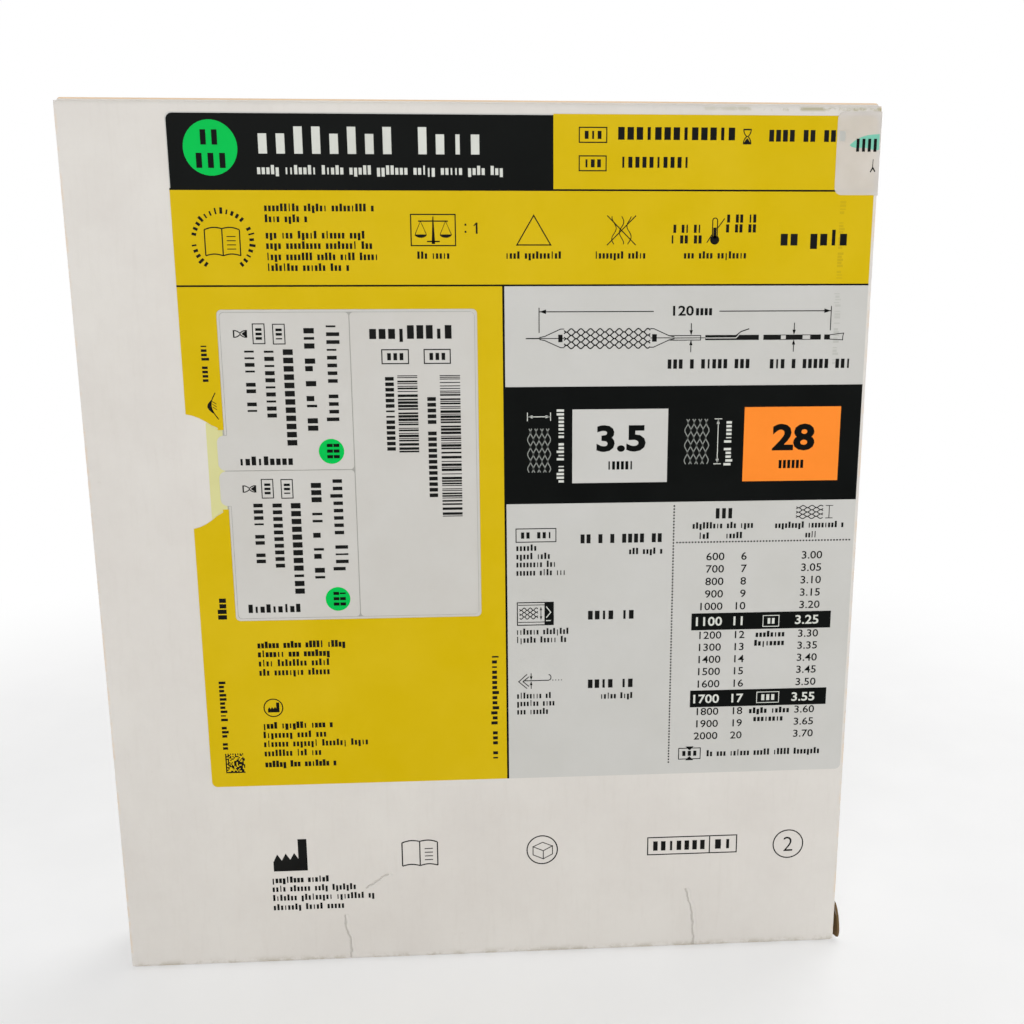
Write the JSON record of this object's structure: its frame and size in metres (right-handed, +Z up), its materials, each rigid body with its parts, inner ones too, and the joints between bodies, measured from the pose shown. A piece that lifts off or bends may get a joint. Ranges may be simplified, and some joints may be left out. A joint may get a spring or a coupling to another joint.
{
  "type": "folding carton",
  "caption": "Flat upright tuck-end folding carton of white paperboard, closed, with a large square label, peel-off stickers and a sticker over one end.",
  "frame": {"origin": "centre of the bottom panel's outside, halfway across the width and depth", "axes": "+Z up, -Y out of the front panel with the label, +X to the viewer's right"},
  "size_m": [0.1959, 0.0222, 0.2235],
  "materials": {
    "board": "white clay-coated board, smooth and slightly satin",
    "label_paper": "printed coated paper, satin",
    "liner_paper": "pale yellow silicone-coated backing paper",
    "sticker_paper": "white coated paper, satin",
    "wrap_film": "white synthetic paper, slightly glossy"
  },
  "bodies": {
    "root": {"carton": "board", "main_label": "label_paper", "sticker_liner": "liner_paper", "sticker_surround": "label_paper", "record_sticker": "sticker_paper", "chart_sticker_upper": "sticker_paper", "chart_sticker_lower": "sticker_paper", "wrap_sticker": "wrap_film"}
  },
  "joints": []
}
